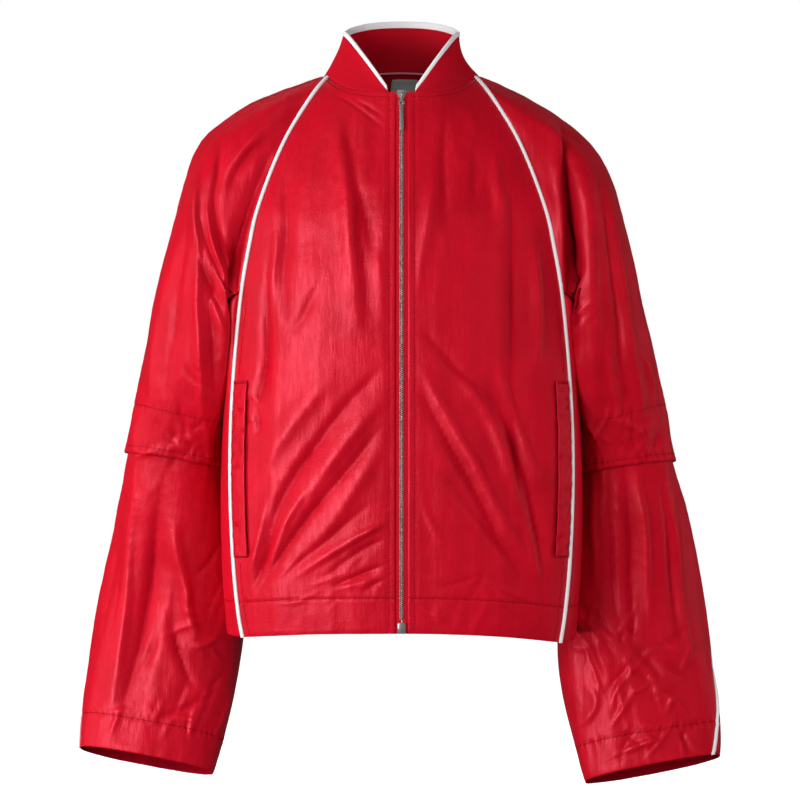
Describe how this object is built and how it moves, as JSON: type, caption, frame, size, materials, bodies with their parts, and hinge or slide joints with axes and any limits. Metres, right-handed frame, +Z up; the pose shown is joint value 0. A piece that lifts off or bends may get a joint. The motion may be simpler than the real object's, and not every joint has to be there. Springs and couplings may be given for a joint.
{
  "type": "track jacket",
  "caption": "Boxy zipped nylon track jacket, filled out, with raglan sleeves, piped seams, elbow flaps, welt pockets and an open rib collar bound in white.",
  "frame": {"origin": "centre of the neck base, level with the high points of the shoulders, where the wearer's shoulders hold the jacket up", "axes": "+X to the wearer's left, -Y out of the front, +Z up to the collar"},
  "size_m": [0.7438, 0.2517, 0.893],
  "materials": {
    "shell": "glossy crinkled nylon",
    "rib": "matt rib knit",
    "trim": "satin off-white bias tape",
    "tape": "woven zip tape",
    "metal": "satin nickel plate",
    "label": "matt woven label"
  },
  "bodies": {
    "jacket": {"front_left": "shell", "front_right": "shell", "side_left": "shell", "side_right": "shell", "back": "shell", "sleeve_upper_front_left": "shell", "sleeve_upper_front_right": "shell", "sleeve_upper_back_left": "shell", "sleeve_upper_back_right": "shell", "sleeve_lower_front_left": "shell", "sleeve_lower_front_right": "shell", "sleeve_lower_back_left": "shell", "sleeve_lower_back_right": "shell", "collar": "rib", "collar_binding": "trim", "piping_front_left": "trim", "piping_front_right": "trim", "piping_sleeve_left": "trim", "piping_sleeve_right": "trim", "pocket_welt_left": "shell", "pocket_welt_right": "shell", "zip_tape_left": "tape", "zip_tape_right": "tape", "zip_chain": "metal", "zip_slider": "metal", "zip_box": "metal", "neck_label": "label"},
    "pull": {"zip_pull": "metal"}
  },
  "joints": [
    {"name": "pull_swing", "type": "hinge", "parent": "jacket", "child": "pull", "pos_m": [0, -0.0961, -0.03474], "axis": [-1, 0, 0], "range_deg": [0, 150]}
  ]
}
